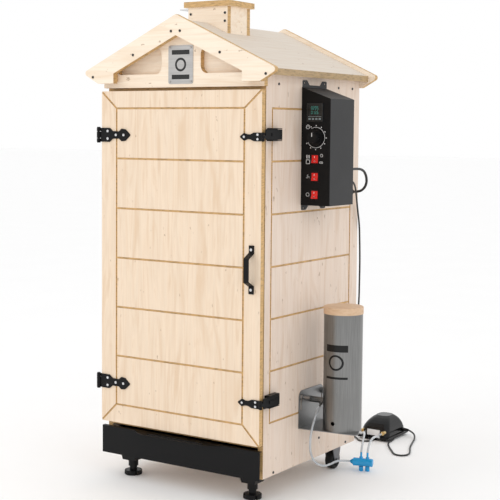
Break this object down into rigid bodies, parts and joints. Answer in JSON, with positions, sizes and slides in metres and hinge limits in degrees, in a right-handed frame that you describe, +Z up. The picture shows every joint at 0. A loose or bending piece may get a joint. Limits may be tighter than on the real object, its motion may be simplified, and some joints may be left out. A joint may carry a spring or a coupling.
{
  "type": "electric cabinet smoker",
  "caption": "Plywood cabinet smoker with a pitched roof, hinged front door, drip tray, side control box, cold smoke generator and air pump",
  "frame": {"origin": "on the floor under the middle of the object, cords left out", "axes": "+Z up, the door faces -Y, the control box and the smoke generator are on the +X side"},
  "size_m": [0.7105, 0.927, 1.278],
  "materials": {
    "birch_panel": "matt lacquered birch plywood",
    "birch_door": "matt lacquered birch plywood",
    "birch_trim": "matt lacquered birch plywood",
    "birch_roof": "matt lacquered birch plywood",
    "beech": "oiled turned beech",
    "black_steel": "satin black powder coat",
    "bright_steel": "zinc plated",
    "stainless": "brushed stainless",
    "plaque_metal": "plain anodised",
    "black_plastic": "moulded black",
    "box_grey": "fine-texture dark grey powder coat",
    "box_black": "satin black front",
    "red_rocker": "lit red",
    "grey_button": "moulded grey",
    "wheel_black": "black tread",
    "pump_black": "glossy black",
    "nozzle_brass": "turned brass",
    "splitter_blue": "blue anodised",
    "cord_black": "black sheath",
    "airline_clear": "translucent tube"
  },
  "bodies": {
    "cabinet": {"side_panel_left": "birch_panel", "side_panel_right": "birch_panel", "back_panel": "birch_panel", "ceiling_panel": "birch_panel", "base_panel": "birch_panel", "gable_boards": "birch_trim", "roof_panels": "birch_roof", "bargeboards": "birch_trim", "chimney": "birch_trim", "plaque": "plaque_metal", "wood_screws": "bright_steel", "wall_fittings": "black_steel", "chamber_rails": "stainless", "foot_sockets": "black_plastic", "caster_forks": "bright_steel", "control_box_housing": "box_grey", "control_box_front": "box_black", "pid_controller": "black_plastic", "switch_bezels": "black_plastic", "cable_entries": "black_plastic", "fan_motor": "black_plastic", "heating_element": "stainless", "racks": "stainless", "temperature_probe": "stainless", "generator_bracket": "black_steel", "generator_tube": "stainless", "pump_housing": "pump_black", "pump_nozzles": "nozzle_brass", "splitter_body": "splitter_blue", "power_cable": "cord_black", "pump_cord": "cord_black", "air_line_a": "airline_clear", "air_line_b": "airline_clear", "air_line_c": "airline_clear"},
    "door": {"door_panel": "birch_door", "door_seal": "wheel_black", "door_straps": "black_steel", "door_handle": "black_steel", "door_screws": "bright_steel"},
    "upper_latch": {"latch_flap_upper": "black_steel"},
    "lower_latch": {"latch_flap_lower": "black_steel"},
    "damper": {"damper_plate": "stainless"},
    "tray": {"drip_tray": "black_steel"},
    "knob": {"timer_knob": "black_plastic"},
    "switch_1": {"rocker_1": "red_rocker"},
    "switch_2": {"rocker_2": "red_rocker"},
    "switch_3": {"rocker_3": "red_rocker"},
    "button_1": {"pid_button_1": "grey_button"},
    "button_2": {"pid_button_2": "grey_button"},
    "button_3": {"pid_button_3": "grey_button"},
    "button_4": {"pid_button_4": "grey_button"},
    "lid": {"generator_lid": "beech"},
    "wheel_left": {"caster_wheel_left": "wheel_black"},
    "wheel_right": {"caster_wheel_right": "wheel_black"},
    "levelling_foot_left": {"foot_left": "black_plastic"},
    "levelling_foot_right": {"foot_right": "black_plastic"},
    "air_knob_1": {"splitter_knob_1": "splitter_blue"},
    "air_knob_2": {"splitter_knob_2": "splitter_blue"},
    "fan": {"fan_wheel": "stainless"},
    "rods": {"hanging_rods": "stainless"}
  },
  "joints": [
    {"name": "door_hinge", "type": "hinge", "parent": "cabinet", "child": "door", "pos_m": [-0.3183, -0.4395, 0.6], "axis": [0, 0, -1], "range_deg": [0, 165]},
    {"name": "upper_latch_hinge", "type": "hinge", "parent": "door", "child": "upper_latch", "pos_m": [0.2032, -0.4395, 0.925], "axis": [0, 0, -1], "range_deg": [0, 150]},
    {"name": "lower_latch_hinge", "type": "hinge", "parent": "door", "child": "lower_latch", "pos_m": [0.2032, -0.4395, 0.261], "axis": [0, 0, -1], "range_deg": [0, 150]},
    {"name": "damper_slide", "type": "slide", "parent": "cabinet", "child": "damper", "axis": [-1, 0, 0], "range_m": [0, 0.1]},
    {"name": "tray_slide", "type": "slide", "parent": "cabinet", "child": "tray", "axis": [0, -1, 0], "range_m": [0, 0.38]},
    {"name": "knob_turn", "type": "hinge", "parent": "cabinet", "child": "knob", "pos_m": [0.2367, -0.2415, 0.924], "axis": [0, 1, 0], "range_deg": [0, 270]},
    {"name": "switch_1_rock", "type": "hinge", "parent": "cabinet", "child": "switch_1", "pos_m": [0.2357, -0.2405, 0.7765], "axis": [1, 0, 0], "range_deg": [0, 18]},
    {"name": "switch_2_rock", "type": "hinge", "parent": "cabinet", "child": "switch_2", "pos_m": [0.2357, -0.2405, 0.8225], "axis": [1, 0, 0], "range_deg": [0, 18]},
    {"name": "switch_3_rock", "type": "hinge", "parent": "cabinet", "child": "switch_3", "pos_m": [0.2357, -0.2405, 0.868], "axis": [1, 0, 0], "range_deg": [0, 18]},
    {"name": "button_1_press", "type": "slide", "parent": "cabinet", "child": "button_1", "axis": [0, 1, 0], "range_m": [0, 0.0008], "stiffness_N_per_m": 300},
    {"name": "button_2_press", "type": "slide", "parent": "cabinet", "child": "button_2", "axis": [0, 1, 0], "range_m": [0, 0.0008], "stiffness_N_per_m": 300},
    {"name": "button_3_press", "type": "slide", "parent": "cabinet", "child": "button_3", "axis": [0, 1, 0], "range_m": [0, 0.0008], "stiffness_N_per_m": 300},
    {"name": "button_4_press", "type": "slide", "parent": "cabinet", "child": "button_4", "axis": [0, 1, 0], "range_m": [0, 0.0008], "stiffness_N_per_m": 300},
    {"name": "lid_lift", "type": "slide", "parent": "cabinet", "child": "lid", "axis": [0, 0, 1], "range_m": [0, 0.12]},
    {"name": "wheel_left_roll", "type": "hinge", "parent": "cabinet", "child": "wheel_left", "pos_m": [-0.2803, -0.0095, 0.025], "axis": [1, 0, 0], "continuous": true},
    {"name": "wheel_right_roll", "type": "hinge", "parent": "cabinet", "child": "wheel_right", "pos_m": [0.1677, -0.0095, 0.025], "axis": [1, 0, 0], "continuous": true},
    {"name": "foot_left_turn", "type": "hinge", "parent": "cabinet", "child": "levelling_foot_left", "pos_m": [-0.2513, -0.3735, 0.012], "axis": [0, 0, 1], "continuous": true},
    {"name": "foot_right_turn", "type": "hinge", "parent": "cabinet", "child": "levelling_foot_right", "pos_m": [0.1387, -0.3735, 0.012], "axis": [0, 0, 1], "continuous": true},
    {"name": "air_knob_1_turn", "type": "hinge", "parent": "cabinet", "child": "air_knob_1", "pos_m": [0.24695, 0.01219, 0.006], "axis": [0, 0, 1], "range_deg": [0, 90]},
    {"name": "air_knob_2_turn", "type": "hinge", "parent": "cabinet", "child": "air_knob_2", "pos_m": [0.26434, 0.01685, 0.006], "axis": [0, 0, 1], "range_deg": [0, 90]},
    {"name": "fan_spin", "type": "hinge", "parent": "cabinet", "child": "fan", "pos_m": [0.1617, -0.1785, 0.8], "axis": [1, 0, 0], "continuous": true},
    {"name": "rods_lift", "type": "slide", "parent": "cabinet", "child": "rods", "axis": [0, 0, 1], "range_m": [0, 0.03]}
  ]
}
